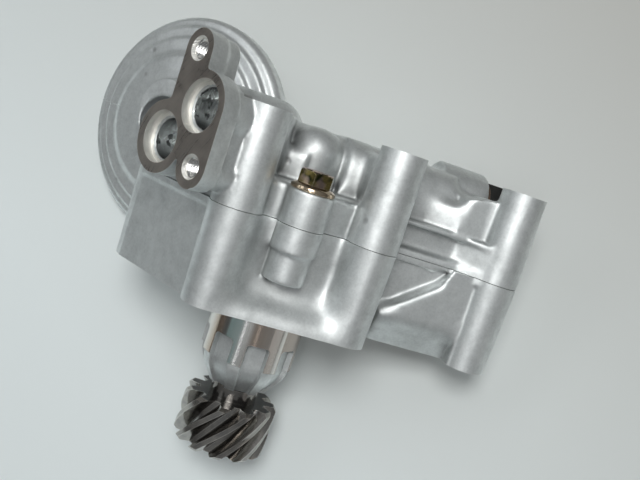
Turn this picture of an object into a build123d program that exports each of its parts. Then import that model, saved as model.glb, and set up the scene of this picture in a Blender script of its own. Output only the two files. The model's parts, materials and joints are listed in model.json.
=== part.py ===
from build123d import *
import os
from math import atan2, cos, degrees, pi, radians, sin, tan

# Engine oil pump: a two-piece cast housing with a rotor set, driven by a helical gear.
# Millimetres. The origin is on the drive shaft's axis, in the plane of the mounting face.
# +Z points from the mounting face towards the pump's cover, and +X runs from the left
# mounting bolt to the middle one, parallel to the front of the pump.

# ---- driving dimensions: housing ----
split_z = 31.2            # joint face between body and cover
top_z = 62.5              # top of the long bolt bosses
boss_r_split = 8.2        # boss radius at the joint face
boss_r_end = 7.55         # boss radius at its ends, smaller by the casting draft
bolt_hole_r = 4.3         # clearance for an M8 bolt
boss_left = (-22.2, -22.8)
boss_mid = (22.4, -22.8)
boss_right = (70.4, -13.5)
gallery_boss = (-43.7, 15.5)
gallery_r = 4.5
skin_gap = 0.6            # gap left where two castings pass each other

# ---- rotor set ----
rotor_w = 18.0
rotor_gap = 0.08          # running clearance, radial and at each end
eccentric = 2.6
lobe_pitch_r = 17.9       # centres of the outer rotor's lobes
lobe_r = 7.0
lobes_out = 5
lobes_in = lobes_out - 1
lobe_steps = 8            # spline spans per lobe of the inner rotor
root_crowding = 0.12      # radians that the spline's points move towards the roots
outer_r = 19.3
outer_root_r = lobe_pitch_r - lobe_r + 2 * eccentric + 0.1
tip_gap = 0.07            # play between the two rotors' profiles
rotor_cx = eccentric      # outer rotor's centre, on the +X side of the shaft
pocket_r = outer_r + rotor_gap
pocket_z = split_z - rotor_w - 2 * rotor_gap
housing_r = pocket_r + 4.2

# ---- shaft, bearings and drive gear ----
shaft_r = 6.0
shaft_gap = 0.04
shaft_relief_r = shaft_r + 0.4
bush_r = 7.5
body_bush_l = 21.5
cover_bush_l = 18.0
bush_inset = 0.5          # lead-in below the lower bush
cover_bush_z = split_z + 2.0
shaft_top = 55.0
pilot_r = 16.0
pilot_end = -29.5
pilot_tip_r = 10.4
flute_count = 8
flute_top = -11.5
flute_depth = 1.9
flute_w = 7.2
flute_corner = 1.2
pilot_land = -19.4        # end of the turned pilot, where the raw cast nose begins
nose_r = 15.5
nose_swell = (15.0, -22.4)
nose_shoulder = (13.7, -24.4)
gear_teeth = 11
gear_tip_r = 16.0
gear_root_r = 11.6
gear_top = -34.3
gear_bottom = -51.8
gear_helix = 40.0         # helix angle at the pitch circle, right-handed
gear_pitch_r = 14.1
gear_chamfer = 1.3
collar_r = 8.15
collar_play = 0.4         # end play between the body's nose and the thrust collar

# ---- port pad ----
pad_angle = 214.8         # direction that the pad faces, seen from +Z
pad_dist = 50.7           # from the shaft axis to the pad's face
pad_t = 6.2
port_1 = (0.2, 56.0)      # along the pad, height
port_2 = (-13.2, 43.8)
pad_hole_1 = (-7.5, 71.3)
pad_hole_2 = (4.3, 39.1)
port_r = 7.9
port_seat = 3.0
port_bore_r = 6.2
port_depth = 16.0
m6_drill_r = 2.5
m6_depth = 10.2
m6_mouth_r = 3.5

# ---- filter head ----
filter_angle = 50.4       # direction that the filter points
filter_x, filter_y, filter_z = -41.0, 43.7, 45.6
filter_r = 41.5
filter_t = 7.0
stud_r = 9.4              # 3/4-16 thread, major radius
stud_root_r = 9.0         # fixed end of the stud, inside the cover
stud_bore_r = 6.6
stud_hole = 22.0
filter_seal_r = 34.5      # middle of the filter's gasket
seal_edge_r = filter_seal_r + 1.2
rim_drop = 1.4            # the gasket's face stands proud of the rim by this much
annulus_in = stud_r + 4.6
annulus_out = filter_seal_r - 5.0
annulus_depth = 5.0
hub_r = 11.8              # hub on the back of the filter head
hub_rise = 4.0
hub_t = 14.0

# ---- relief valve gallery ----
gallery_y = 7.0
gallery_z = 52.9
relief_open_x = 63.0
relief_bore_r = 6.04
relief_depth = 38.0
drain_r = 3.4             # passage beyond the relief bore's end
drain_depth = 8.0
plug_r = 7.0
plug_l = 10.0
plunger_r = 6.0
plunger_l = 16.0
relief_travel = 6.0

# ---- filter bypass valve ----
bypass_bore_r = 6.5
bypass_depth = 9.0
bypass_place = (-16.0, 12.0)

# ---- small bolt that holds the two castings together ----
small_bolt = (-1.9, -24.4)
seat_z = 42.3
small_boss_r = 7.3
bolt_clear_r = 3.2
bolt_thread_r = 3.0
bolt_thread_depth = 14.0

os.makedirs("parts", exist_ok=True)

pad_n = (cos(radians(pad_angle)), sin(radians(pad_angle)))
pad_plane = Plane(
    origin=(pad_dist * pad_n[0], pad_dist * pad_n[1], 0),
    x_dir=(-pad_n[1], pad_n[0], 0),
    z_dir=(pad_n[0], pad_n[1], 0),
)
filter_n = (cos(radians(filter_angle)), sin(radians(filter_angle)))
filter_plane = Plane(
    origin=(filter_x, filter_y, filter_z),
    x_dir=(-filter_n[1], filter_n[0], 0),
    z_dir=(filter_n[0], filter_n[1], 0),
)
filter_section = Plane(
    origin=(filter_x, filter_y, filter_z),
    x_dir=(filter_n[0], filter_n[1], 0),
    z_dir=(filter_n[1], -filter_n[0], 0),
)
filter_axis = Axis((filter_x, filter_y, filter_z), (filter_n[0], filter_n[1], 0))


def save(name, part):
    part.label = name
    export_step(part, f"parts/{name}.step")


def at_pad(distance, along):
    """Plan point given by its distance towards the port pad and its place along the pad."""
    x = distance * pad_n[0] - along * pad_n[1]
    y = distance * pad_n[1] + along * pad_n[0]
    return (x, y)


def on_filter(along, across):
    """Plan point given by its place along the filter's axis and to the side of it."""
    x = filter_x + along * filter_n[0] - across * filter_n[1]
    y = filter_y + along * filter_n[1] + across * filter_n[0]
    return (x, y)


# ---- plan outlines shared by the two castings ----
long_bosses = [boss_left, boss_mid, boss_right]
wall_d = 35.3             # wall between the gallery boss and the left bolt boss
front_y = -21.0           # wall between the left and middle bolt bosses
side_y = -14.0            # front of the ledge between the middle and right bosses
back_y = 16.5
rim_h = 2.4               # height of the rim at the joint face

left_wall = [at_pad(wall_d, -37.7), at_pad(wall_d, 4.0), boss_left, (0, 0), gallery_boss]
front_wall = [boss_left, (-17.0, front_y), (22.0, front_y), boss_mid, (22, 10), (-22, 10)]
left_back = [gallery_boss, (-42.0, 23.3), (-18.0, 19.5), (0, 0)]
right_back = [(2.6, 0), (5.0, 23.5), (34.0, back_y), (60.0, 10.0), (74.0, -7.0), boss_right]
side_wall = [boss_mid, (33.0, side_y), (56.0, side_y), (64.0, -18.6), boss_right, (40, 10)]
column = [(-16.6, -18.0), (-15.0, -22.6), (-7.0, -22.6), (-5.0, -15.0)]


def housing_plan(z, height, shapes):
    """Rotor housing wall from one level up, with the given walls joined to it."""
    with BuildPart() as walls:
        with BuildSketch(Plane.XY.offset(z)):
            with Locations((rotor_cx, 0)):
                Circle(housing_r)
            for shape in shapes:
                Polygon(*shape, align=None)
        extrude(amount=height)
    return walls.part


def columns(z, height, r_start, r_end, centres):
    """Round columns with casting draft, standing on one level."""
    taper = degrees(atan2(r_start - r_end, height))
    with BuildPart() as posts:
        with BuildSketch(Plane.XY.offset(z)):
            with Locations(*centres):
                Circle(r_start)
        extrude(amount=height, taper=taper)
    return posts.part


def holes(z, height, radius, centres):
    """Straight round holes, as solids to take away."""
    with BuildPart() as drilled:
        with BuildSketch(Plane.XY.offset(z)):
            with Locations(*centres):
                Circle(radius)
        extrude(amount=height)
    return drilled.part


def kidneys(z, height):
    """Inlet and outlet kidneys, either side of the rotors' line of centres."""
    with BuildPart() as pair:
        with BuildSketch(Plane.XY.offset(z)):
            for middle in (90, -90):
                SlotArc(CenterArc((rotor_cx, 0), 12.6, middle - 42, 84), 4.4)
        extrude(amount=height)
    return pair.part


def nose(inset):
    """Turned pilot and cast nose below the mounting face, smaller all round by an inset."""
    swell = (nose_swell[0] - inset, nose_swell[1])
    shoulder = (nose_shoulder[0] - inset, nose_shoulder[1])
    with BuildPart() as turned:
        with BuildSketch(Plane.XZ):
            with BuildLine():
                Polyline((0, 1), (pilot_r - inset, 1), (pilot_r - inset, pilot_land))
                Line((pilot_r - inset, pilot_land), (nose_r - inset, pilot_land))
                ThreePointArc((nose_r - inset, pilot_land), swell, shoulder)
                Line(shoulder, (pilot_tip_r - inset, pilot_end))
                Polyline((pilot_tip_r - inset, pilot_end), (0, pilot_end), (0, 1))
            make_face()
        revolve(axis=Axis.Z)
    return turned.part


def nose_flutes():
    """Cast flutes that follow the nose's taper and are open at its end."""
    with BuildPart() as flutes:
        with BuildSketch(Plane.XY.offset(pilot_end - 1)):
            with PolarLocations(pilot_r, flute_count, start_angle=-90):
                RectangleRounded(1.5 * pilot_r, flute_w, flute_corner)
        extrude(amount=flute_top - pilot_end + 1)
    return flutes.part - nose(flute_depth)


# ---- pump body: the lower casting ----
flange_y = -30.3          # front of the mounting flange
proud_y = -17.2           # front of the gallery wall between the middle and right bosses
recess_y = -7.0
bolt_step_z = 22.9
bolt_foot_z = 13.4
inlet_gallery = (50.0, -1.0)
inlet_r = 6.0
inlet_depth = 20.0
dowels = [(-29.5, 6.5), (37.0, 8.0)]
dowel_r = 3.0
dowel_l = 9.0
dowel_play = 0.2          # the dowels end this far short of their holes
kidney_depth = 4.0
ridge_left = (33.5, 11.5)     # ends of the ridge that bounds the recess, across and up
ridge_right = (50.6, 24.2)
ridge_step = 1.2


def recess_floor():
    """Sloping floor of the recess beside the middle boss, deepest in its upper left corner."""
    low = Vector(ridge_left[0], proud_y + ridge_step, ridge_left[1])
    high = Vector(ridge_right[0], proud_y + ridge_step, ridge_right[1])
    corner = Vector(boss_mid[0] + boss_r_split, recess_y, split_z - rim_h)
    slope = Plane(origin=low, x_dir=high - low, z_dir=(high - low).cross(corner - low))
    with BuildPart() as floor:
        with BuildSketch(Plane.XZ.offset(-recess_y - 2)):
            Polygon(
                (26.0, 8.0), ridge_left, (37.0, 13.6), ridge_right, (53.0, 28.4), (53.0, split_z - 1.0),
                (26.0, split_z - 1.0), align=None,
            )
        extrude(amount=recess_y + 2 - proud_y)
        split(bisect_by=slope, keep=Keep.TOP if slope.z_dir.Y > 0 else Keep.BOTTOM)
    return floor.part


with BuildPart() as pump_body:
    side_recess = [boss_mid, (31.0, recess_y), (58.0, recess_y), boss_right, (40, 10)]
    rim_wall = [at_pad(wall_d + 1.3, -37.0), at_pad(wall_d + 1.3, 2.0), (-20, -20), gallery_boss]
    add(housing_plan(0, split_z, [left_wall, front_wall, left_back, right_back, side_recess]))
    add(housing_plan(split_z - rim_h, rim_h, [side_wall, rim_wall]))
    add(housing_plan(2, split_z - 2, [column]))
    add(columns(0, split_z, boss_r_end, boss_r_split, long_bosses + [gallery_boss]))
    # flare from the front wall down to the mounting flange
    with BuildSketch(Plane.YZ.offset(boss_left[0])):
        with BuildLine():
            Polyline((flange_y, 3.0), (flange_y, 0), (-12, 0), (-12, 19), (front_y, 19))
            ThreePointArc((front_y, 19), (-23.6, 8.6), (flange_y, 3.0))
        make_face()
    extrude(amount=boss_mid[0] - boss_left[0])
    # gallery wall that stands proud between the middle and right bosses
    with BuildSketch(Plane.XZ.offset(-recess_y - 2)):
        Polygon(
            (33.5, 0), ridge_left, (37.0, 13.6), ridge_right, (53.0, 28.4), (56.4, split_z),
            (70.0, split_z), (70.0, 0), align=None,
        )
    extrude(amount=recess_y + 2 - proud_y)
    add(recess_floor())
    with BuildSketch(Plane.YZ.offset(30)):
        Polygon(
            (proud_y - 1, -1), (proud_y - 1, 10.5), (proud_y, 10.5), (recess_y, 0), (recess_y, -1),
            align=None,
        )
    extrude(amount=33, mode=Mode.SUBTRACT)
    # stepped boss for the small bolt
    add(holes(bolt_step_z, split_z - bolt_step_z, small_boss_r, [small_bolt]))
    add(holes(bolt_foot_z, split_z - bolt_foot_z, small_boss_r - 0.9, [small_bolt]))
    # pilot and nose, with cast flutes that are open at the nose's end
    add(nose(0))
    add(nose_flutes(), mode=Mode.SUBTRACT)
    # rotor pocket, shaft bore, galleries and bolt holes
    add(holes(pocket_z, 99, pocket_r, [(rotor_cx, 0)]), mode=Mode.SUBTRACT)
    add(kidneys(pocket_z - kidney_depth, kidney_depth), mode=Mode.SUBTRACT)
    add(holes(pilot_end, 99, shaft_relief_r, [(0, 0)]), mode=Mode.SUBTRACT)
    add(holes(pilot_end, bush_inset + body_bush_l, bush_r, [(0, 0)]), mode=Mode.SUBTRACT)
    add(holes(0, 99, bolt_hole_r, long_bosses), mode=Mode.SUBTRACT)
    add(holes(0, 99, gallery_r, [gallery_boss]), mode=Mode.SUBTRACT)
    add(holes(0, inlet_depth, inlet_r, [inlet_gallery]), mode=Mode.SUBTRACT)
    add(holes(split_z - bolt_thread_depth, 99, bolt_thread_r, [small_bolt]), mode=Mode.SUBTRACT)
    add(holes(split_z - dowel_l / 2, 99, dowel_r, dowels), mode=Mode.SUBTRACT)
save("pump_body", pump_body.part)

# ---- pump cover: the upper casting, with the port pad and the filter head ----
ledge_z = 42.9
ledge_t = 1.8
bearing_boss_r = 10.3
dome_top = 61.6
left_block_top = 53.8     # flat block beside the bearing dome
right_block_top = 58.2    # flat block and web beside the right bolt boss
right_block_ramp = 54.0
neck_top = 62.0
gallery_hole = 14.5       # depth of the gallery drilled up from the joint face
hump_r = 11.8             # relief valve gallery, right-hand end
hump_x = 46.0


def pad_outline():
    """Port pad: lobes round its holes, joined by a body with one straight side."""
    with BuildSketch() as outline:
        with Locations(port_1):
            Circle(10.3)
        with Locations(port_2):
            Circle(11.0)
        with Locations(pad_hole_1):
            Circle(6.0)
        with Locations(pad_hole_2):
            Circle(6.4)
        Polygon(
            (-13.4, 71.0), (-1.5, 71.0), (-1.3, 66.0), (10.5, 57.0), (10.7, 39.1), (3.0, 39.0),
            (-13.2, 43.8), (-20.0, 52.4), (-13.4, 55.5), align=None,
        )
    return outline.sketch


def filter_head_profile():
    """Half section of the filter head: stepped back, domed hub, gasket face."""
    with BuildSketch(filter_section) as half:
        with BuildLine():
            Polyline(
                (-10.5, 0), (filter_t, 0), (filter_t, filter_r - 0.6), (filter_t - 0.6, filter_r),
                (0.8, filter_r), (-1.2, filter_r - 1.4), (-1.6, 37.6), (-3.6, 36.8), (-3.8, 33.0),
                (-5.6, 32.2), (-6.2, 27.5), (-8.2, 24.8), (-10.5, hub_r), (-10.5, 0),
            )
        make_face()
    return half.sketch


relief_mouth = Plane(origin=(relief_open_x, gallery_y, gallery_z), x_dir=(0, 1, 0), z_dir=(1, 0, 0))
bypass_plane = Plane(
    origin=filter_plane.offset(filter_t - annulus_depth).from_local_coords((*bypass_place, 0)),
    x_dir=filter_plane.x_dir,
    z_dir=filter_plane.z_dir,
)


def keep_out():
    """Space that the lower casting fills, so that the filter head passes clear of it."""
    with BuildPart() as space:
        with BuildSketch(Plane.XY.offset(-10)):
            with Locations((rotor_cx, 0)):
                Circle(housing_r + skin_gap)
            with Locations(gallery_boss):
                Circle(boss_r_split + skin_gap)
            for shape in (left_wall, front_wall, left_back, right_back):
                Polygon(*shape, align=None)
            offset(amount=skin_gap)
        extrude(amount=split_z + 10)
    return space.part


with BuildPart() as pump_cover:
    # joint flange, recessed below its ledge
    low = ledge_z - split_z
    add(housing_plan(split_z, low, [left_wall, left_back, right_back]))
    add(housing_plan(split_z, rim_h, [front_wall, side_wall]))
    front_recess = [boss_left, (-17, front_y), (4, front_y), (5, -17.5), (21, -17.5), boss_mid, (0, 0)]
    cover_recess = [boss_mid, (31, -11.3), (54, -11.3), (64.0, -18.6), boss_right, (40, 10)]
    add(housing_plan(split_z, low, [front_recess, cover_recess, column]))
    add(housing_plan(ledge_z - ledge_t, ledge_t, [front_wall, side_wall]))
    add(columns(split_z, top_z - split_z, boss_r_split, boss_r_end, long_bosses))
    add(holes(split_z, seat_z - split_z, small_boss_r, [small_bolt]))
    # web behind the left boss, and the middle boss's web to the gallery
    with BuildSketch(Plane.XY.offset(ledge_z - 1)):
        Polygon((-22.2, -22.8), (-14.5, -20.0), (-12.5, 0), (-30, 0), (-30, -22), align=None)
        Polygon((16.5, -18.0), (22.4, -22.8), (28.4, -18.0), (28, 6), (16, 6), align=None)
    extrude(amount=top_z - 2.0 - ledge_z)
    with BuildSketch(Plane.XY.offset(ledge_z - 1)):
        Polygon((57, -12.8), (66, -15.0), (68, -8.0), (57, -5.0), align=None)
    extrude(amount=right_block_top - ledge_z)
    add(columns(split_z, 20.0, boss_r_split, boss_r_end, [gallery_boss]))
    # shaft bearing boss with a domed top, and the flat block on its left
    with BuildSketch(Plane.XZ):
        with BuildLine():
            Polyline((0, ledge_z - 2), (bearing_boss_r, ledge_z - 2), (bearing_boss_r, 52.5))
            ThreePointArc((bearing_boss_r, 52.5), (7.6, 59.0), (1.0, dome_top))
            Polyline((1.0, dome_top), (0, dome_top), (0, ledge_z - 2))
        make_face()
    revolve(axis=Axis.Z)
    with BuildSketch(Plane.XY.offset(ledge_z - 1)):
        Polygon((-13.0, -7.6), (-3.6, -11.2), (0, 0), (-12, 6), align=None)
    extrude(amount=left_block_top - ledge_z)
    # relief valve gallery: a rounded body along X, stepped out twice
    for x0, x1, front, top, crown in (
        (-12, 12, -5.5, 61.3, 11.0), (9.5, 40.0, -9.8, 61.7, 11.0), (34.0, 50.0, -8.6, 61.4, 9.0),
    ):
        with BuildSketch(Plane.YZ.offset(x0)):
            with BuildLine():
                Polyline((front, ledge_z - 2), (front, top - crown))
                RadiusArc((front, top - crown), (front + crown, top), crown)
                Line((front + crown, top), (12.0, top))
                RadiusArc((12.0, top), (18.0, top - 6.0), 6.0)
                Polyline((18.0, top - 6.0), (18.0, ledge_z - 2), (front, ledge_z - 2))
            make_face()
        extrude(amount=x1 - x0)
    with BuildSketch(Plane.YZ.offset(hump_x)):
        with Locations((gallery_y, gallery_z)):
            Circle(hump_r)
    extrude(amount=relief_open_x - hump_x)
    with BuildSketch(Plane.XY.offset(ledge_z - 2)):
        Polygon((51.0, -8.0), (51.5, -13.6), (61.0, -13.6), (62.5, -8), (62.5, 14), (44, 14), align=None)
    extrude(amount=right_block_top - ledge_z)
    with BuildSketch(Plane.XY.offset(ledge_z - 2)):
        Polygon((39.5, -9.4), (51.5, -13.4), (51.5, -6.0), (39.5, -6.0), align=None)
    extrude(amount=right_block_ramp - ledge_z)
    # neck between the port pad, the housing and the filter head
    with BuildSketch(Plane.XY.offset(split_z)):
        Polygon(
            at_pad(wall_d - 6, -20.0), at_pad(wall_d - 2, 4.0), (-12, -12), (-4, 16),
            on_filter(0, -24), on_filter(0, 6), on_filter(-12, 0), align=None,
        )
    extrude(amount=neck_top - split_z)
    # filter head, with a round hub on its back that stands a little above its centre
    add(filter_head_profile())
    revolve(axis=filter_axis)
    with BuildSketch(filter_plane):
        with Locations((0, hub_rise)):
            Circle(hub_r)
    extrude(amount=-hub_t)
    # rounded gallery end on the shaft side of the filter head
    with BuildSketch(Plane(origin=(-30, 12.0, 56.8), x_dir=(1, 0, 0), z_dir=(0, -1, 0))):
        with BuildLine():
            Polyline((0, 0), (26.5, 0))
            ThreePointArc((26.5, 0), (23.4, 6.8), (16.5, 9.6))
            Polyline((16.5, 9.6), (0, 9.6), (0, 0))
        make_face()
    revolve(axis=Axis((-30, 12.0, 56.8), (1, 0, 0)))
    # port pad and the bosses behind its holes
    with BuildSketch(pad_plane):
        add(pad_outline())
    extrude(amount=-pad_t)
    with BuildSketch(pad_plane.offset(-pad_t)):
        with Locations(port_1):
            Circle(9.2)
        with Locations(port_2):
            Circle(10.0)
        with Locations(pad_hole_2):
            Circle(5.2)
        Polygon(
            (-13.0, 60.0), (8.0, 60.0), (8.6, 39.1), (4.0, 36.0), (-13.2, 36.5), align=None,
        )
    extrude(amount=-16.0)
    with BuildSketch(pad_plane.offset(-pad_t)):
        with Locations(pad_hole_1):
            Circle(5.4)
        Polygon((-12.8, 71.3), (-2.2, 71.3), (-1.0, 58.0), (-12.8, 58.0), align=None)
    extrude(amount=-5.0)
    # joint face and clearance round the lower casting
    add(holes(-10, split_z + 10, 75.0, [(-6, 0)]) & keep_out(), mode=Mode.SUBTRACT)
    # passages: rotor kidneys, shaft bearing, bolt holes, filter outlet
    add(kidneys(split_z, kidney_depth), mode=Mode.SUBTRACT)
    add(holes(split_z, shaft_top + 1 - split_z, shaft_relief_r, [(0, 0)]), mode=Mode.SUBTRACT)
    add(holes(cover_bush_z, cover_bush_l, bush_r, [(0, 0)]), mode=Mode.SUBTRACT)
    add(holes(split_z, 99, bolt_hole_r, long_bosses), mode=Mode.SUBTRACT)
    add(holes(seat_z, 20, small_boss_r, [small_bolt]), mode=Mode.SUBTRACT)
    add(holes(split_z, 20, bolt_clear_r, [small_bolt]), mode=Mode.SUBTRACT)
    add(holes(split_z, dowel_l / 2, dowel_r, dowels), mode=Mode.SUBTRACT)
    add(holes(split_z, gallery_hole, gallery_r, [gallery_boss]), mode=Mode.SUBTRACT)
    # ports and threaded holes of the port pad
    with BuildSketch(pad_plane):
        with Locations(port_1, port_2):
            Circle(port_r)
    extrude(amount=-port_seat, mode=Mode.SUBTRACT)
    with BuildSketch(pad_plane):
        with Locations(port_1, port_2):
            Circle(port_bore_r)
    extrude(amount=-port_depth, mode=Mode.SUBTRACT)
    with BuildSketch(pad_plane):
        with Locations(pad_hole_1, pad_hole_2):
            Circle(m6_drill_r)
    extrude(amount=-m6_depth, mode=Mode.SUBTRACT)
    with BuildSketch(pad_plane):
        with Locations(pad_hole_1, pad_hole_2):
            Circle(m6_mouth_r)
    extrude(amount=m6_drill_r - m6_mouth_r, taper=45, mode=Mode.SUBTRACT)
    # relief valve bore, with a wider thread for its plug
    with BuildSketch(relief_mouth):
        Circle(plug_r)
    extrude(amount=-plug_l, mode=Mode.SUBTRACT)
    with BuildSketch(relief_mouth):
        Circle(relief_bore_r)
    extrude(amount=-relief_depth, mode=Mode.SUBTRACT)
    with BuildSketch(relief_mouth.offset(-relief_depth)):
        Circle(drain_r)
    extrude(amount=-drain_depth, mode=Mode.SUBTRACT)
    # filter face: oil annulus, centre thread and bypass bore
    with BuildSketch(filter_plane.offset(filter_t)):
        Circle(annulus_out)
        Circle(annulus_in, mode=Mode.SUBTRACT)
    extrude(amount=-annulus_depth, mode=Mode.SUBTRACT)
    with BuildSketch(filter_plane.offset(filter_t)):
        Circle(stud_root_r + 0.05)
    extrude(amount=-stud_hole, mode=Mode.SUBTRACT)
    with BuildSketch(filter_plane.offset(filter_t)):
        Circle(filter_r + 1)
        Circle(seal_edge_r, mode=Mode.SUBTRACT)
    extrude(amount=-rim_drop, mode=Mode.SUBTRACT)
    with BuildSketch(bypass_plane):
        Circle(bypass_bore_r)
    extrude(amount=-bypass_depth, mode=Mode.SUBTRACT)
save("pump_cover", pump_cover.part)


# ---- rotor set ----
rotor_z = pocket_z + rotor_gap
pin_r = 2.0
pin_l = 15.2
pin_play = 0.3
pin_slot = 5.0
rotor_bore_r = shaft_r + shaft_gap


def inner_profile_point(turn):
    """Envelope of the outer rotor's round lobes, seen from the inner rotor."""
    ratio = lobe_pitch_r / (eccentric * lobes_out)
    swing = (1 - lobes_out) * turn
    lean = atan2(sin(swing), ratio - cos(swing))
    reach = lobe_r + tip_gap
    x = lobe_pitch_r * cos(turn) - reach * cos(turn + lean) - eccentric * cos(lobes_out * turn)
    y = -lobe_pitch_r * sin(turn) + reach * sin(turn + lean) + eccentric * sin(lobes_out * turn)
    return (x, y)


def inner_lobe(number):
    """Points of one lobe of the inner rotor, from root to root and closer together near the roots."""
    pitch = 2 * pi / lobes_in
    steps = [pitch * (number + i / lobe_steps) for i in range(lobe_steps + 1)]
    return [inner_profile_point(step - root_crowding * sin(lobes_in * step)) for step in steps]


with BuildPart() as inner_rotor:
    with BuildSketch(Plane.XY.offset(rotor_z)):
        with BuildLine():
            for number in range(lobes_in):
                start, end = 2 * pi * number / lobes_in, 2 * pi * (number + 1) / lobes_in
                Spline(
                    *inner_lobe(number),
                    tangents=[(-sin(start), -cos(start)), (-sin(end), -cos(end))],
                )
        make_face()
        Circle(rotor_bore_r, mode=Mode.SUBTRACT)
    extrude(amount=rotor_w)
    with BuildSketch(Plane.XY.offset(rotor_z + rotor_w)):
        Rectangle(2 * pin_r + pin_play / 3, pin_l + pin_play)
    extrude(amount=-pin_slot, mode=Mode.SUBTRACT)
save("inner_rotor", inner_rotor.part)

with BuildPart() as outer_rotor:
    with BuildSketch(Plane.XY.offset(rotor_z)):
        with Locations((rotor_cx, 0)):
            Circle(outer_r)
            Circle(outer_root_r, mode=Mode.SUBTRACT)
    extrude(amount=rotor_w)
    with BuildSketch(Plane.XY.offset(rotor_z)):
        with Locations((rotor_cx, 0)):
            with PolarLocations(lobe_pitch_r, lobes_out, start_angle=180):
                Circle(lobe_r)
        with Locations((rotor_cx, 0)):
            Circle(outer_r, mode=Mode.INTERSECT)
    extrude(amount=rotor_w)
save("outer_rotor", outer_rotor.part)

# ---- drive shaft, its pin, bushes and thrust collar ----
shaft_bottom = gear_bottom - 0.8
pin_z = rotor_z + rotor_w - pin_slot + pin_r + 0.2
shaft_chamfer = 0.6
shaft_lid = 2.0           # metal left in the cover above the shaft's end

with BuildPart() as drive_shaft:
    with BuildSketch(Plane.XY.offset(shaft_bottom)):
        Circle(shaft_r)
    extrude(amount=shaft_top - shaft_lid - shaft_bottom)
    chamfer(drive_shaft.edges().filter_by(GeomType.CIRCLE), shaft_chamfer)
    with BuildSketch(Plane.XZ.offset(-10)):
        with Locations((0, pin_z)):
            Circle(pin_r)
    extrude(amount=20, mode=Mode.SUBTRACT)
save("drive_shaft", drive_shaft.part)

with BuildPart() as rotor_pin:
    with BuildSketch(Plane.XZ.offset(-pin_l / 2)):
        with Locations((0, pin_z)):
            Circle(pin_r)
    extrude(amount=pin_l)
save("rotor_pin", rotor_pin.part)


def sleeve(z, length, outer, inner):
    """Plain round sleeve standing on one level."""
    with BuildPart() as ring:
        with BuildSketch(Plane.XY.offset(z)):
            Circle(outer)
            Circle(inner, mode=Mode.SUBTRACT)
        extrude(amount=length)
    return ring.part


with BuildPart() as body_bush:
    add(sleeve(pilot_end + bush_inset, body_bush_l, bush_r, shaft_r + shaft_gap))
save("body_bush", body_bush.part)

with BuildPart() as cover_bush:
    add(sleeve(cover_bush_z, cover_bush_l, bush_r, shaft_r + shaft_gap))
save("cover_bush", cover_bush.part)

with BuildPart() as thrust_collar:
    add(sleeve(gear_top, pilot_end - collar_play - gear_top, collar_r, shaft_r))
save("thrust_collar", thrust_collar.part)

# ---- drive gear ----
tooth_root_half = 11.4    # half tooth angles, in degrees, at three radii
tooth_mid_half = 8.0
tooth_tip_half = 4.2
gear_edge = 1.1
gear_blank_r = gear_tip_r + 0.2


def polar(radius, angle):
    return (radius * cos(radians(angle)), radius * sin(radians(angle)))


with BuildSketch() as tooth:
    with BuildLine():
        Line(polar(gear_root_r - 1, -tooth_root_half), polar(gear_root_r, -tooth_root_half))
        ThreePointArc(
            polar(gear_root_r, -tooth_root_half),
            polar(gear_pitch_r, -tooth_mid_half),
            polar(gear_tip_r, -tooth_tip_half),
        )
        Line(polar(gear_tip_r, -tooth_tip_half), polar(gear_tip_r, tooth_tip_half))
        ThreePointArc(
            polar(gear_tip_r, tooth_tip_half),
            polar(gear_pitch_r, tooth_mid_half),
            polar(gear_root_r, tooth_root_half),
        )
        Line(polar(gear_root_r, tooth_root_half), polar(gear_root_r - 1, tooth_root_half))
        Line(polar(gear_root_r - 1, tooth_root_half), polar(gear_root_r - 1, -tooth_root_half))
    make_face()

with BuildSketch(Plane.XY.offset(gear_bottom)) as gear_section:
    Circle(gear_root_r)
    with PolarLocations(0, gear_teeth):
        add(tooth.sketch)

gear_w = gear_top - gear_bottom
gear_twist = degrees(gear_w * tan(radians(gear_helix)) / gear_pitch_r)
twisted = Solid.extrude_linear_with_rotation(
    gear_section.sketch.faces()[0], (0, 0, gear_bottom), (0, 0, gear_w), gear_twist
)

with BuildPart() as drive_gear:
    add(twisted)
    with BuildSketch(Plane.XZ):
        Polygon(
            (0, gear_bottom), (gear_tip_r - gear_edge, gear_bottom),
            (gear_blank_r, gear_bottom + gear_chamfer), (gear_blank_r, gear_top - gear_chamfer),
            (gear_tip_r - gear_edge, gear_top), (0, gear_top), align=None,
        )
    revolve(axis=Axis.Z, mode=Mode.INTERSECT)
    add(holes(gear_bottom - 1, gear_w + 2, shaft_r, [(0, 0)]), mode=Mode.SUBTRACT)
save("drive_gear", drive_gear.part)

# ---- small flange bolt and the dowels ----
head_af = 10.0
head_h = 6.4
head_turn = 12.0
flange_r = 7.0
flange_rim = 1.3
flange_cone = 1.1
bolt_shank_r = 2.95
bolt_l = 22.0

with BuildPart() as cover_bolt:
    with BuildSketch(Plane.XY.offset(seat_z)):
        with Locations(small_bolt):
            Circle(flange_r)
    extrude(amount=flange_rim)
    with BuildSketch(Plane.XY.offset(seat_z + flange_rim)):
        with Locations(small_bolt):
            Circle(flange_r)
    extrude(amount=flange_cone, taper=50)
    with BuildSketch(Plane.XY.offset(seat_z + 1.0)):
        with Locations(small_bolt):
            RegularPolygon(head_af / 2, 6, major_radius=False, rotation=head_turn)
    extrude(amount=head_h - 1.0)
    with BuildSketch(Plane.XY.offset(seat_z - bolt_l)):
        with Locations(small_bolt):
            Circle(bolt_shank_r)
    extrude(amount=bolt_l + 1.0)
save("cover_bolt", cover_bolt.part)

with BuildPart() as dowel_pins:
    add(holes(split_z - dowel_l / 2 + dowel_play, dowel_l - 2 * dowel_play, dowel_r, dowels))
save("dowel_pins", dowel_pins.part)

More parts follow.
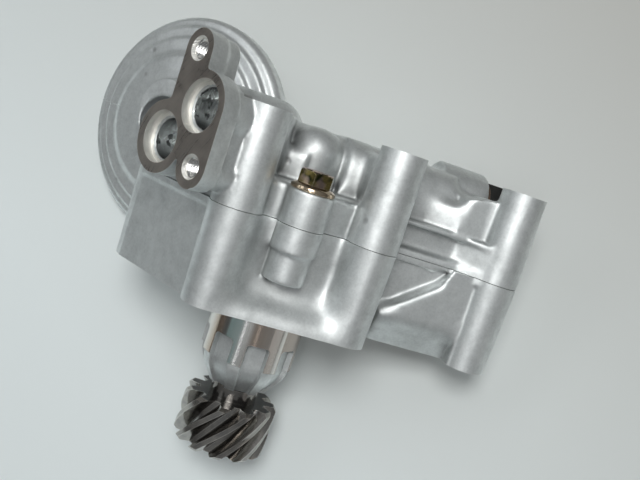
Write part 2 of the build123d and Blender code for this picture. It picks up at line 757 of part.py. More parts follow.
# ---- relief valve ----
seat_x = relief_open_x - relief_depth
plunger_wall = 4.0        # thickness of the plunger's crown
skirt_r = 4.4
spring_wire_r = 0.7
spring_r = 3.4
spring_l = 28.6
spring_pitch = 4.5
washer_t = 1.5
washer_r = 10.0
plug_af = 19.0
plug_head = 7.0
plug_socket_r = 4.5
plug_socket = 5.0

spring_x = seat_x + plunger_wall + 0.05

with BuildPart() as relief_plunger:
    with BuildSketch(relief_mouth.offset(-relief_depth)):
        Circle(plunger_r)
    extrude(amount=plunger_l)
    chamfer(relief_plunger.edges().filter_by(GeomType.CIRCLE).sort_by(Axis.X)[0], 1.0)
    with BuildSketch(relief_mouth.offset(-relief_depth + plunger_l)):
        Circle(skirt_r)
    extrude(amount=plunger_wall - plunger_l, mode=Mode.SUBTRACT)
save("relief_plunger", relief_plunger.part)

with BuildPart() as relief_spring:
    with BuildLine() as coil:
        Helix(
            pitch=spring_pitch, height=spring_l - 2 * spring_wire_r, radius=spring_r,
            center=(spring_x + spring_wire_r, gallery_y, gallery_z), direction=(1, 0, 0),
        )
    with BuildSketch(coil.line ^ 0):
        RegularPolygon(spring_wire_r, 6)
    sweep(path=coil.line, is_frenet=True)
save("relief_spring", relief_spring.part)

with BuildPart() as plug_washer:
    with BuildSketch(relief_mouth):
        Circle(washer_r)
        Circle(plug_r + 0.1, mode=Mode.SUBTRACT)
    extrude(amount=washer_t)
save("plug_washer", plug_washer.part)

with BuildPart() as relief_plug:
    with BuildSketch(relief_mouth.offset(-plug_l)):
        Circle(plug_r - 0.05)
    extrude(amount=plug_l + washer_t)
    with BuildSketch(relief_mouth.offset(washer_t)):
        RegularPolygon(plug_af / 2, 6, major_radius=False)
    extrude(amount=plug_head)
    with BuildSketch(relief_mouth.offset(-plug_l)):
        Circle(plug_socket_r)
    extrude(amount=plug_socket, mode=Mode.SUBTRACT)
save("relief_plug", relief_plug.part)

# ---- filter stud and bypass valve ----
stud_out = 12.0
stud_in = 16.0
seat_ring_t = 1.6         # pressed ring that the bypass disc closes against
seat_ring_r = 3.9
disc_r = 5.6
disc_t = 1.0
disc_z = -seat_ring_t - 0.05
bypass_spring_r = 4.2
bypass_spring_l = 5.2
bypass_wire_r = 0.45
bypass_pitch = 2.0
bypass_spring_z = disc_z - disc_t - bypass_wire_r - 0.05 - bypass_spring_l

with BuildPart() as filter_stud:
    with BuildSketch(filter_plane.offset(filter_t - stud_in)):
        Circle(stud_root_r)
    extrude(amount=stud_in)
    with BuildSketch(filter_plane.offset(filter_t)):
        Circle(stud_r - 0.05)
    extrude(amount=stud_out)
    with BuildSketch(filter_plane.offset(filter_t - stud_in)):
        Circle(stud_bore_r)
    extrude(amount=stud_in + stud_out, mode=Mode.SUBTRACT)
    chamfer(filter_stud.edges().filter_by(GeomType.CIRCLE).sort_by(filter_axis)[-1], 1.0)
save("filter_stud", filter_stud.part)

with BuildPart() as bypass_seat:
    with BuildSketch(bypass_plane.offset(-seat_ring_t)):
        Circle(bypass_bore_r)
        Circle(seat_ring_r, mode=Mode.SUBTRACT)
    extrude(amount=seat_ring_t)
save("bypass_seat", bypass_seat.part)

with BuildPart() as bypass_disc:
    with BuildSketch(bypass_plane.offset(disc_z)):
        Circle(disc_r)
    extrude(amount=-disc_t)
save("bypass_disc", bypass_disc.part)

with BuildPart() as bypass_spring:
    with BuildLine() as cone:
        Helix(
            pitch=bypass_pitch, height=bypass_spring_l, radius=bypass_spring_r,
            center=bypass_plane.from_local_coords((0, 0, bypass_spring_z)), direction=bypass_plane.z_dir,
        )
    with BuildSketch(cone.line ^ 0):
        RegularPolygon(bypass_wire_r, 6)
    sweep(path=cone.line, is_frenet=True)
save("bypass_spring", bypass_spring.part)
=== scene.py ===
# %% [markdown]
# # Engine oil pump
# Two die-cast aluminium shells, a helical gear on a ground shaft, a port pad and a round filter head.
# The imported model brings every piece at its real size. Here the castings get soft cast corners and crisp
# machined faces, and every metal gets its own surface.

# %% Load the frame
import json
import math
import bpy
import bmesh
import numpy as np
from mathutils import Matrix, Vector


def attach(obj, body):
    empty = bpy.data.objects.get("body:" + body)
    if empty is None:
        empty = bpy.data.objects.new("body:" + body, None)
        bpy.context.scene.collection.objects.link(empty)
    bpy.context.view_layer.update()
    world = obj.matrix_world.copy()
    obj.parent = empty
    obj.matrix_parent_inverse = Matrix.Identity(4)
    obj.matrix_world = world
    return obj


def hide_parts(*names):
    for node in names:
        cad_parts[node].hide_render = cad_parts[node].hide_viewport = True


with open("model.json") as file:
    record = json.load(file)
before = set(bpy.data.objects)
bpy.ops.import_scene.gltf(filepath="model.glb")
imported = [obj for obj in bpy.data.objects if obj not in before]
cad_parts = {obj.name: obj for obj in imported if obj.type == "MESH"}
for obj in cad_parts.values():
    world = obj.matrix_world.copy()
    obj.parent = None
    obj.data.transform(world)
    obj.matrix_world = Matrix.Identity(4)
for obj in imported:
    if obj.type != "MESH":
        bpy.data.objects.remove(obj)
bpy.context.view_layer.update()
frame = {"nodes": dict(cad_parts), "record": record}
nodes = frame["nodes"]
scene = bpy.context.scene
mm = 0.001

# %% [markdown]
# ### Places
# The record says where the port pad and the filter face are. Reading it keeps the finished pieces on the
# solids. Only the joint, the boss tops and the bolt's seat are given again here.

# %% Places taken from the record
mounts = {m["name"]: m for m in frame["record"]["mounts"]}
joint_z = 31.2 * mm
bolt_seat = Vector((-1.9, -24.4, 42.3)) * mm
boss_top_z = 62.5 * mm
pad_out = Vector(mounts["port_pad"]["axis"]).normalized()
pad_along = Vector((-pad_out.y, pad_out.x, 0.0))
pad_depth = Vector(mounts["port_pad"]["pos_m"]).dot(pad_out)
filter_out = Vector(mounts["filter_face"]["axis"]).normalized()
filter_across = Vector((-filter_out.y, filter_out.x, 0.0))
filter_centre = Vector(mounts["filter_thread"]["pos_m"])
filter_depth = Vector(mounts["filter_face"]["pos_m"]).dot(filter_out)
filter_face_centre = filter_centre + filter_out * (filter_depth - filter_centre.dot(filter_out))
head_back = filter_face_centre - filter_out * (7.0 * mm)
print("pad at", round(pad_depth / mm, 2), "filter face at", round(filter_depth / mm, 2))


def on_pad(along, height, out=0.0):
    """Point of the port pad's face, in metres from millimetres along, up and out of it."""
    return pad_out * (pad_depth + out * mm) + pad_along * (along * mm) + Vector((0, 0, height * mm))


# %% [markdown]
# ## Node groups
# Effects that several metals share are built once as node groups. They put out masks and values only, so
# that each material keeps its own shader.

# %% Helpers for shader trees
def shader_group(name, inputs, outputs):
    """Empty node group; its inputs are (name, kind, default) and its outputs (name, kind)."""
    tree = bpy.data.node_groups.new(name, "ShaderNodeTree")
    for label, kind, default in inputs:
        socket = tree.interface.new_socket(label, in_out="INPUT", socket_type="NodeSocket" + kind)
        if default is not None:
            socket.default_value = default
    for label, kind in outputs:
        tree.interface.new_socket(label, in_out="OUTPUT", socket_type="NodeSocket" + kind)
    tree.nodes.new("NodeGroupInput").name = "in"
    tree.nodes.new("NodeGroupOutput").name = "out"
    return tree


def add(tree, kind, **settings):
    """New shader node; settings are its own properties."""
    node = tree.nodes.new("ShaderNode" + kind)
    for key, value in settings.items():
        setattr(node, key, value)
    return node


def give(entry, value):
    """Links a value to an input if it is a socket, and otherwise writes it there."""
    if isinstance(value, bpy.types.NodeSocket):
        entry.id_data.links.new(value, entry)
    elif value is not None:
        entry.default_value = value


def filled(node, *values, **named):
    """A node whose first inputs and named inputs are given; a name's blanks are written as _."""
    for entry, value in zip(node.inputs, values):
        give(entry, value)
    for key, value in named.items():
        give(node.inputs[key.replace("_", " ")], value)
    return node


def noise(place, scale, detail=3.0, roughness=0.55):
    """Noise value on a vector socket."""
    node = add(place.id_data, "TexNoise")
    return filled(node, Vector=place, Scale=scale, Detail=detail, Roughness=roughness).outputs["Fac"]


def ramp(value, low, high, out_low=0.0, out_high=1.0):
    """Maps a value from low..high to out_low..out_high, held at both ends."""
    return filled(add(value.id_data, "MapRange"), value, low, high, out_low, out_high).outputs["Result"]


def math_node(operation, a, b=None):
    """One maths node of two sockets or numbers."""
    tree = next(value.id_data for value in (a, b) if isinstance(value, bpy.types.NodeSocket))
    return filled(add(tree, "Math", operation=operation), a, b).outputs[0]


def vector_node(operation, a, b=None):
    """One vector maths node of two sockets or vectors; puts out a vector or, for a measure, a number."""
    node = filled(add(a.id_data, "VectorMath", operation=operation), a, b)
    measure = operation in ("DOT_PRODUCT", "LENGTH", "DISTANCE")
    return node.outputs["Value" if measure else "Vector"]


def parts_of(vector):
    """The x, y and z of a vector socket, as outputs X, Y and Z."""
    return filled(add(vector.id_data, "SeparateXYZ"), vector).outputs


def times(a, b):
    """Product of two sockets or numbers."""
    return math_node("MULTIPLY", a, b)


def plus(a, b):
    """Sum of two sockets or numbers."""
    return math_node("ADD", a, b)


def mixed(kind, factor, a, b):
    """Blend of two values of a kind (FLOAT, VECTOR or RGBA), each a socket or a plain value."""
    node = add(factor.id_data, "Mix", data_type=kind)
    for label, value in (("Factor", factor), ("A", a), ("B", b)):
        give(next(entry for entry in node.inputs if entry.name == label and entry.enabled), value)
    return next(entry for entry in node.outputs if entry.enabled)


def mix_colour(factor, a, b):
    """Blend of two colours, each a socket or an RGB tuple."""
    a, b = [(*colour, 1.0) if isinstance(colour, tuple) else colour for colour in (a, b)]
    return mixed("RGBA", factor, a, b)


def tinted(base, mask, amount, tint):
    """A colour with some amount of a tint where a mask is 1."""
    return mix_colour(times(mask, amount), base, tint)


# %% [markdown]
# ### Edges and corners
# Handled metal is brighter along its outer edges. Its inner corners and hollows get painted shade, darkened
# in colour. A Bevel node rounds the normal near an edge, so its angle to the true normal marks every edge.
# An ambient occlusion node finds the corners and hollows where the shade is painted.

# %% Edge and corner masks
def edge_group():
    """Edge is 1 on outer edges, Corner is 1 in tight inner corners, Hollow is 1 deep in a wide recess."""
    tree = shader_group(
        "edge_and_corner",
        [("Edge width", "Float", 0.0006), ("Corner size", "Float", 0.004), ("Hollow size", "Float", 0.022)],
        [("Edge", "Float"), ("Corner", "Float"), ("Hollow", "Float")],
    )
    inside, outside = tree.nodes["in"], tree.nodes["out"]
    bevel = filled(add(tree, "Bevel", samples=4), Radius=inside.outputs["Edge width"])
    true_normal = add(tree, "NewGeometry").outputs["Normal"]
    bend = ramp(vector_node("DOT_PRODUCT", bevel.outputs["Normal"], true_normal), 0.995, 0.86)
    masks = []
    # Corner and Hollow are masks for painted shade, from ambient occlusion
    for size, light, dark in (("Corner size", 0.75, 0.25), ("Hollow size", 0.85, 0.35)):
        occlusion = add(tree, "AmbientOcclusion", samples=6, only_local=True)
        filled(occlusion, Distance=inside.outputs[size])
        masks.append(ramp(occlusion.outputs["AO"], light, dark))
    corner, hollow = masks
    outer = times(bend, math_node("SUBTRACT", 1.0, corner))
    filled(outside, Edge=outer, Corner=corner, Hollow=hollow)
    return tree


edges = edge_group()
print("edge masks:", len(edges.nodes), "nodes")

# %% [markdown]
# ### Cast skin
# Aluminium from a steel die has a satin skin: wide soft flow marks, a fine grain and a few small dings.
# The group gives a height for the bump, a mottle for roughness and a mask for the dings.

# %% Cast skin
def cast_group():
    """Height, mottle and dings of a die-cast skin on Object coordinates."""
    tree = shader_group(
        "cast_skin",
        [("Vector", "Vector", None)],
        [("Height", "Float"), ("Mottle", "Float"), ("Ding", "Float"), ("Speck", "Float")],
    )
    inside, outside = tree.nodes["in"], tree.nodes["out"]
    place = inside.outputs["Vector"]
    flow = noise(place, 70.0, 4.0, 0.6)
    cloud = noise(place, 260.0, 3.0, 0.6)
    grain = noise(place, 2600.0, 2.0, 0.6)
    cell = filled(add(tree, "TexVoronoi", feature="F1"), Vector=place, Scale=120.0)
    pick = filled(add(tree, "SeparateColor"), cell.outputs["Color"])
    rare, spot = ramp(pick.outputs[0], 0.86, 0.88), ramp(cell.outputs["Distance"], 0.16, 0.05)
    ding = times(rare, spot)
    wide, medium = times(flow, 0.30), times(cloud, 0.16)
    height = plus(plus(wide, medium), times(grain, 0.03))
    height = math_node("SUBTRACT", height, times(ding, 0.30))
    mottle = plus(times(flow, 0.6), times(cloud, 0.4))
    filled(outside, Height=height, Mottle=mottle, Ding=ding, Speck=noise(place, 1300.0, 4.0, 0.7))
    return tree


cast_skin = cast_group()
print("cast skin:", len(cast_skin.nodes), "nodes")

# %% [markdown]
# ### Metal
# Every piece of the pump is bare or plated metal, so each finish starts as a Principled shader with
# Metallic at 1. The textures use Object coordinates, because those stay with a piece that moves.

# %% Base of every material
def metal(name, roughness):
    """New material; returns it, its tree, its Principled shader and the Object coordinates."""
    material = bpy.data.materials.new(name)
    material.use_nodes = True
    tree = material.node_tree
    shader = filled(tree.nodes["Principled BSDF"], Metallic=1.0, Roughness=roughness)
    print("finish", name)
    return material, tree, shader, add(tree, "TexCoord").outputs["Object"]


def group_node(tree, group, **values):
    """Places a shader group, with its named inputs given; returns its outputs."""
    return filled(add(tree, "Group", node_tree=group), **values).outputs


def bump(shader, height, depth):
    """Bump of a height from 0 to 1, times a depth in metres, into the shader's Normal."""
    node = filled(add(height.id_data, "Bump"), Strength=1.0, Distance=depth, Height=height)
    filled(shader, Normal=node.outputs["Normal"])


# %% [markdown]
# ## Finishes
# The castings are raw. Their grey is mixed from two by the skin's mottle, then given painted shade in
# hollows and corners and brightened along worn edges. A line of the die crosses the filter head's back.

# %% Raw casting
line_start = 24.0         # how far from the filter head's centre its die line begins


def die_line(place):
    """Mask of the line that the two halves of the die left on the back of the filter head."""
    height = parts_of(place)["Z"]
    off = math_node("ABSOLUTE", math_node("SUBTRACT", height, filter_centre.z))
    start = filter_centre.dot(filter_across) + line_start * mm
    outward = ramp(vector_node("DOT_PRODUCT", place, filter_across), start, start + 1.0 * mm)
    return times(ramp(off, 0.32 * mm, 0.14 * mm), outward)


def cast_colour(skin, marks):
    """Mottled grey with painted shade in hollows and corners, brighter along worn edges, dark in the dings.
    """
    tint = plus(times(skin["Mottle"], 0.75), times(skin["Speck"], 0.25))
    base = mix_colour(ramp(tint, 0.36, 0.60), cast_dark, cast_pale)
    # painted shade: darker deep in wide hollows, then in tight corners
    shaded = tinted(base, marks["Hollow"], 0.60, (0.22, 0.225, 0.22))
    with_painted_shade = tinted(shaded, marks["Corner"], 0.5, (0.15, 0.15, 0.15))
    worn = tinted(with_painted_shade, marks["Edge"], 0.6, (0.88, 0.90, 0.90))
    return tinted(worn, skin["Ding"], 0.5, (0.25, 0.25, 0.25))


def cast_aluminium():
    """The satin die-cast finish of both castings."""
    material, tree, shader, place = metal("cast_aluminium", 0.4)
    skin = group_node(tree, cast_skin, Vector=place)
    marks = group_node(tree, edges, Edge_width=0.0007, Corner_size=0.006)
    line = die_line(place)
    colour = tinted(cast_colour(skin, marks), line, 0.7, (0.92, 0.94, 0.94))
    filled(shader, Base_Color=colour, Roughness=ramp(skin["Mottle"], 0.3, 0.7, 0.60, 0.46))
    height = plus(skin["Height"], times(line, 0.6))
    bump(shader, height, 0.0004)
    return material


cast_dark, cast_pale = (0.60, 0.625, 0.625), (0.85, 0.88, 0.88)
cast = cast_aluminium()

# %% [markdown]
# ### Plain metals
# Shaft, gear, rotors, bushes and springs differ in colour, roughness and grain only, so one function with
# named settings makes them all.

# %% Plain metals
def plain_metal(name, colour, dark, roughness, grain_scale=900.0, depth=0.00003, corner=0.5, near=0.003,
                edge=0.0003, ends=0.0):
    """Machined metal: fine grain in colour and roughness, brighter edges, painted shade in corners and on
    end faces.
    """
    material, tree, shader, place = metal(name, roughness)
    speck = noise(place, grain_scale, 3.0, 0.6)
    cloud = noise(place, grain_scale / 8, 3.0, 0.6)
    marks = group_node(tree, edges, Edge_width=edge, Corner_size=near)
    base = mix_colour(ramp(cloud, 0.35, 0.65), dark, colour)
    # painted shade in corners; with ends, also painted shade on faces whose normal is nearly along z, the
    # end faces
    with_painted_shade = tinted(base, marks["Corner"], corner, (0.05, 0.05, 0.05))
    if ends:
        facing_up = parts_of(add(tree, "NewGeometry").outputs["Normal"])["Z"]
        upright = math_node("ABSOLUTE", facing_up)
        level = ramp(upright, 0.85, 0.95, 0.0, ends)
        with_painted_shade = mix_colour(level, with_painted_shade, (0.03, 0.03, 0.03))
    bright = tuple(min(1.0, c * 1.6 + 0.15) for c in colour)
    worn = tinted(with_painted_shade, marks["Edge"], 0.9, bright)
    sheen = ramp(speck, 0.35, 0.65, roughness * 0.8, roughness * 1.25)
    filled(shader, Base_Color=worn, Roughness=sheen)
    bump(shader, speck, depth)
    return material


ground_steel = plain_metal("ground_steel", (0.68, 0.66, 0.63), (0.60, 0.585, 0.56), 0.10, corner=0.25)
dark_steel = plain_metal("dark_steel", (0.30, 0.285, 0.265), (0.22, 0.21, 0.20), 0.14)
gear_steel = plain_metal(
    "gear_steel", (0.44, 0.42, 0.39), (0.32, 0.31, 0.30), 0.17, grain_scale=2400.0, depth=0.00001,
    edge=0.0005, ends=0.8,
)
tapped = plain_metal(
    "tapped_aluminium", (0.86, 0.86, 0.84), (0.78, 0.78, 0.76), 0.22, corner=0.9, near=0.0009,
)
sintered_iron = plain_metal("sintered_iron", (0.32, 0.32, 0.33), (0.22, 0.22, 0.23), 0.45)
bronze = plain_metal("bronze", (0.62, 0.42, 0.22), (0.50, 0.33, 0.17), 0.30)
plain_zinc = plain_metal("plain_zinc", (0.62, 0.63, 0.65), (0.50, 0.51, 0.53), 0.28)
dark_zinc = plain_metal("dark_zinc", (0.10, 0.10, 0.095), (0.06, 0.06, 0.06), 0.35)
copper = plain_metal("copper", (0.26, 0.18, 0.13), (0.18, 0.12, 0.09), 0.40)
spring_steel = plain_metal("spring_steel", (0.36, 0.36, 0.37), (0.25, 0.25, 0.26), 0.30)

# %% [markdown]
# ### Cut faces
# A milled face is satin, with fine arcs left by the cutter. A bored face has rings round its own axis,
# which spread the light, so it looks bright from every side. The rings are noise along the distance from
# the bore's centre, and the nearer of the two ports is picked by height.

# %% Milled and bored aluminium
def tool_lines(place, centre, scale, detail):
    """Uneven rings round a centre: noise along the distance from it."""
    reach = vector_node("LENGTH", vector_node("SUBTRACT", place, centre))
    lines = add(place.id_data, "TexNoise", noise_dimensions="1D")
    return filled(lines, W=reach, Scale=scale, Detail=detail).outputs[0]


def milled_metal(name, colour, dark, roughness, centre, line_scale):
    """Flat cut face: lines along arcs round a far cutter centre, a cloudy tint and bright edges."""
    material, tree, shader, place = metal(name, roughness)
    lines = tool_lines(place, centre, line_scale, 4.0)
    cloud = noise(place, 160.0, 4.0, 0.6)
    marks = group_node(tree, edges, Edge_width=0.0003, Corner_size=0.003)
    tint = plus(times(cloud, 0.65), times(lines, 0.35))
    base = mix_colour(ramp(tint, 0.38, 0.62), dark, colour)
    bright = tuple(min(1.0, c * 1.6 + 0.1) for c in colour)
    worn = tinted(base, marks["Edge"], 0.8, bright)
    sheen = ramp(tint, 0.35, 0.65, roughness * 0.8, roughness * 1.3)
    filled(shader, Base_Color=worn, Roughness=sheen)
    bump(shader, lines, 0.00003)
    return material


def bored_metal(name, colour, roughness, low_centre, high_centre, swap_height, scale, depth, stain=0.0):
    """Bored face: rings round the nearer of two centres, one below and one above a height."""
    material, _, shader, place = metal(name, roughness)
    upper = ramp(parts_of(place)["Z"], swap_height - 0.00001, swap_height + 0.00001)
    centre = mixed("VECTOR", upper, low_centre, high_centre)
    rings = tool_lines(place, centre, scale, 3.0)
    blot = ramp(noise(place, 300.0, 5.0, 0.65), 0.56, 0.60)
    dark = tuple(c * 0.12 for c in colour)
    pale = mix_colour(ramp(rings, 0.3, 0.7), tuple(c * 0.85 for c in colour), colour)
    filled(shader, Base_Color=tinted(pale, blot, stain, dark))
    bump(shader, rings, depth)
    return material


# %% [markdown]
# ### Yellow zinc
# The small bolt is plated, which leaves a film whose colour changes with its thickness. Two soft noises
# stand in for the thickness, the top face has a painted pale highlight, and the worn flange is paler than
# the hexagon.

# %% Iridescent yellow zinc of the small bolt
in_plan = (1.0, 1.0, 0.0)


def zinc_film(name):
    """Dark gold plating that shifts to olive and rose in soft patches, with a painted pale highlight on top
    and bright edges.
    """
    material, tree, shader, place = metal(name, 0.16)
    patch = noise(place, 330.0, 2.0, 0.5)
    other = noise(place, 210.0, 2.0, 0.5)
    marks = group_node(tree, edges, Edge_width=0.0003, Corner_size=0.003)
    gold = mix_colour(ramp(patch, 0.40, 0.56), (0.03, 0.035, 0.015), (0.20, 0.16, 0.06))
    upward = parts_of(add(tree, "NewGeometry").outputs["Normal"])["Z"]
    patches = times(ramp(other, 0.58, 0.68), 0.35)
    # painted highlight: faces that point up turn pale rose
    rose_and_top_highlight = math_node("MAXIMUM", patches, ramp(upward, 0.6, 0.95, 0.0, 0.8))
    surface_tint = mix_colour(rose_and_top_highlight, gold, (0.70, 0.52, 0.48))
    flat = vector_node("MULTIPLY", place, in_plan)
    aside = vector_node("DISTANCE", flat, (bolt_seat.x, bolt_seat.y, 0.0))
    surface_tint = mix_colour(ramp(aside, 5.7 * mm, 6.0 * mm), surface_tint, (0.52, 0.42, 0.31))
    worn = tinted(surface_tint, marks["Edge"], 0.7, (0.92, 0.82, 0.62))
    # painted shade in corners
    with_painted_shade = tinted(worn, marks["Corner"], 0.8, (0.05, 0.04, 0.03))
    filled(shader, Base_Color=with_painted_shade)
    bump(shader, noise(place, 900.0), 0.00002)
    return material


# %% [markdown]
# ### One finish for each piece
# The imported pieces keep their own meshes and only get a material. Pieces made anew below share these.

# %% Dress the model's own pieces
def dress(mesh, *materials):
    """Gives a mesh its materials."""
    mesh.materials.clear()
    for material in materials:
        mesh.materials.append(material)


metal_pieces = (
    (cast, "pump_body pump_cover"), (gear_steel, "drive_gear"), (dark_steel, "thrust_collar"),
    (ground_steel, "drive_shaft rotor_pin dowel_pins relief_plunger bypass_seat bypass_disc"),
    (sintered_iron, "inner_rotor outer_rotor"), (bronze, "body_bush cover_bush"),
    (plain_zinc, "cover_bolt filter_stud"), (spring_steel, "relief_spring bypass_spring"),
    (dark_zinc, "relief_plug"), (copper, "plug_washer"),
)
for material, names in metal_pieces:
    for node in names.split():
        dress(nodes[node].data, material)
    print(material.name, "on", names)

# %% [markdown]
# ### Turned pilot
# The pilot was turned bright, while the nose under it is raw. One material tells them apart by height and
# radius, so the border follows the flutes. Across the pilot its colour is a ramp of tints: painted
# reflections of the surroundings, with a painted white highlight.

# %% Turned pilot above, raw casting below
def turned_metal(name, lathe_bottom, lathe_radius):
    """Cast skin that is turned bright above a height, where it reaches the lathe's radius, with painted
    reflections there.
    """
    material, tree, shader, place = metal(name, 0.3)
    skin = group_node(tree, cast_skin, Vector=place)
    parts = parts_of(place)
    reach = vector_node("LENGTH", vector_node("MULTIPLY", place, in_plan))
    outermost = ramp(reach, lathe_radius - 0.2 * mm, lathe_radius - 0.1 * mm)
    above = ramp(parts["Z"], lathe_bottom - 0.1 * mm, lathe_bottom + 0.1 * mm)
    turned = times(outermost, above)
    rings = add(tree, "TexWave", wave_type="BANDS", bands_direction="Z", wave_profile="SAW")
    filled(rings, Vector=place, Scale=900.0, Distortion=0.6)
    marks = group_node(tree, edges, Edge_width=0.0004, Corner_size=0.004)
    raw = cast_colour(skin, marks)
    # painted reflection: tints fixed across the pilot in x, with a white stripe as a painted highlight
    surface_tint = add(tree, "ValToRGB")
    surface_tint.color_ramp.interpolation = "EASE"
    for number, (x, tint) in enumerate(painted_reflection):
        stop = surface_tint.color_ramp.elements[number] if number < 2 else surface_tint.color_ramp.elements.new(0.5)
        stop.position = (x + reflection_reach) / (2 * reflection_reach)
        stop.color = (*tint, 1.0)
    filled(surface_tint, Fac=ramp(parts["X"], -reflection_reach * mm, reflection_reach * mm))
    ringed = times(rings.outputs["Fac"], 0.25)
    bright = mix_colour(ringed, surface_tint.outputs["Color"], (0.8, 0.8, 0.78))
    sheen = ramp(turned, 0.0, 1.0, 0.50, 0.12)
    filled(shader, Base_Color=mix_colour(turned, raw, bright), Roughness=sheen)
    lathe = times(rings.outputs["Fac"], 0.02)
    bump(shader, mixed("FLOAT", turned, skin["Height"], lathe), 0.0004)
    return material


reflection_reach = 16.0         # the painted reflection's tints run from one side of the pilot to the other
painted_reflection = [
    (-16.0, (0.80, 0.78, 0.74)), (-13.2, (0.55, 0.41, 0.30)), (-11.3, (0.25, 0.25, 0.24)),
    (-10.4, (0.56, 0.74, 0.71)), (-7.8, (0.66, 0.80, 0.77)), (-6.2, (1.0, 1.0, 0.98)),
    (-4.9, (0.90, 0.88, 0.84)), (-2.6, (0.55, 0.44, 0.36)), (2.0, (0.66, 0.39, 0.27)),
    (4.5, (0.42, 0.36, 0.32)), (8.0, (0.84, 0.82, 0.78)),
]
pilot_radius = mounts["pilot"]["dims"]["r_mm"] * mm
pilot_bottom = -mounts["pilot"]["dims"]["length_mm"] * mm
turned_nose = turned_metal("turned_nose", pilot_bottom, pilot_radius)

# %% [markdown]
# ## Castings
# A die casting has rounded corners everywhere except where a cutter has been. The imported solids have
# sharp corners, and bevelling every edge of such a shape would fail, so each casting is made the way a
# foundry makes it. A copy of the solid gets extra stock on the faces that are machined. It is then
# voxel-remeshed and relaxed. Last, planes and drills cut the machined faces and holes back to size.

# %% Mesh helpers
def linked(name, data):
    """New object of some data, in the scene."""
    thing = bpy.data.objects.new(name, data)
    scene.collection.objects.link(thing)
    return thing


def new_piece(name, mesh, material):
    """A mesh as a finished piece that stays with the housing."""
    piece = linked(name, mesh)
    dress(mesh, material)
    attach(piece, "housing")
    return piece


def written(tool, mesh):
    """Writes a bmesh into a mesh, frees it and returns the mesh."""
    tool.to_mesh(mesh)
    tool.free()
    return mesh


def welded(mesh, distance, outwards=False):
    """Joins points that lie within a distance and, if asked, turns the faces outwards."""
    shell = bmesh.new()
    shell.from_mesh(mesh)
    bmesh.ops.remove_doubles(shell, verts=shell.verts, dist=distance)
    if outwards:
        bmesh.ops.recalc_face_normals(shell, faces=shell.faces)
    return written(shell, mesh)


def smoothed(mesh, degrees):
    """Shades a mesh smooth, except along edges that turn more than an angle."""
    mesh.polygons.foreach_set("use_smooth", [True] * len(mesh.polygons))
    mesh.set_sharp_from_angle(angle=math.radians(degrees))


def out_and_aside(points, place, along):
    """How far points are from a place along a direction, and how far they are beside that line."""
    along = np.array(along)
    away = points - np.array(place)
    out = away @ along
    return out, np.linalg.norm(away - out[:, None] * along, axis=1)


def applied(piece):
    """The piece's mesh with its modifiers worked in; the modifiers are removed."""
    graph = bpy.context.evaluated_depsgraph_get()
    graph.update()
    mesh = bpy.data.meshes.new_from_object(piece.evaluated_get(graph))
    piece.modifiers.clear()
    old = piece.data
    piece.data = mesh
    bpy.data.meshes.remove(old)
    return mesh


same = 0.01 * mm          # points this close to a plane lie on it


def points_of(mesh):
    """Vertex positions as an array of rows."""
    rows = np.zeros(len(mesh.vertices) * 3)
    mesh.vertices.foreach_get("co", rows)
    return rows.reshape(-1, 3)


# %% [markdown]
# ### Stock and rounding
# Relaxing pulls each point towards its neighbours, which wears down edges and fills corners alike. A few
# rounds give the radius of the die, and many more in a zone let a rib or a boss melt into its wall.

# %% Stock and rounding
def stocked(points, face, extra):
    """Moves the points on a machined face, (centre, direction, reach), outwards by some stock."""
    centre, direction, reach = face
    out, aside = out_and_aside(points, centre, direction)
    points[(np.abs(out) < same) & (aside < reach)] += np.array(direction) * extra
    return points


def relaxed(points, ends, rounds, weight=1.0, pull=0.5):
    """Moves every point towards the mean of its neighbours, some rounds over; ends are the edges."""
    count = np.maximum(np.bincount(ends.ravel(), minlength=len(points)), 1)[:, None]
    for _ in range(rounds):
        total = np.zeros_like(points)
        for axis in range(3):
            total[:, axis] = np.bincount(ends[:, 0], points[ends[:, 1], axis], len(points))
            total[:, axis] += np.bincount(ends[:, 1], points[ends[:, 0], axis], len(points))
        points = points + weight * pull * (total / count - points)
    return points


def blended(points, ends, zones):
    """Relaxes the points of each zone many more rounds, so that its walls flow into each other.

    A zone is (low corner, high corner, rounds, keep). Its weight falls to 0 over its outer 3 mm, and
    within 1 mm of the upright cylinders named in keep, each (x, y, radius, lowest height)."""
    rim_fade, keep_fade = 3 * mm, 1 * mm
    for low, high, rounds, keep in zones:
        low, high = np.array(low) * mm, np.array(high) * mm
        inside = ((points > low) & (points < high)).all(axis=1)
        rows = np.flatnonzero(inside)
        number = np.full(len(points), -1)
        number[rows] = np.arange(len(rows))
        pairs = number[ends]
        pairs = pairs[(pairs >= 0).all(axis=1)]
        part = points[rows]
        rim = np.minimum(part - low, high - part).min(axis=1) / rim_fade
        for x, y, radius, lowest in keep:
            off = np.hypot(part[:, 0] - x * mm, part[:, 1] - y * mm) - radius * mm
            rim = np.minimum(rim, np.maximum(off, lowest * mm - part[:, 2]) / keep_fade)
        points[rows] = relaxed(part, pairs, rounds, np.clip(rim, 0, 1)[:, None])
    return points


# %% [markdown]
# ### Cutters
# Holes could be modelled in, but a Boolean with a plain cylinder leaves the sharp edge of a real drill.

# %% Cutting tools
def drill(start, direction, radius, depth, mouth=None, steps=64):
    """Closed cylinder, or cone if mouth is given, from a start point along a direction, in metres."""
    ahead = Vector(direction).normalized()
    place = Matrix.Translation(Vector(start) + ahead * depth / 2)
    turn = ahead.to_track_quat("Z", "Y").to_matrix().to_4x4()
    tool = bmesh.new()
    bmesh.ops.create_cone(
        tool, cap_ends=True, segments=steps, radius1=mouth or radius, radius2=radius, depth=depth,
        matrix=place @ turn,
    )
    return written(tool, bpy.data.meshes.new("drill"))


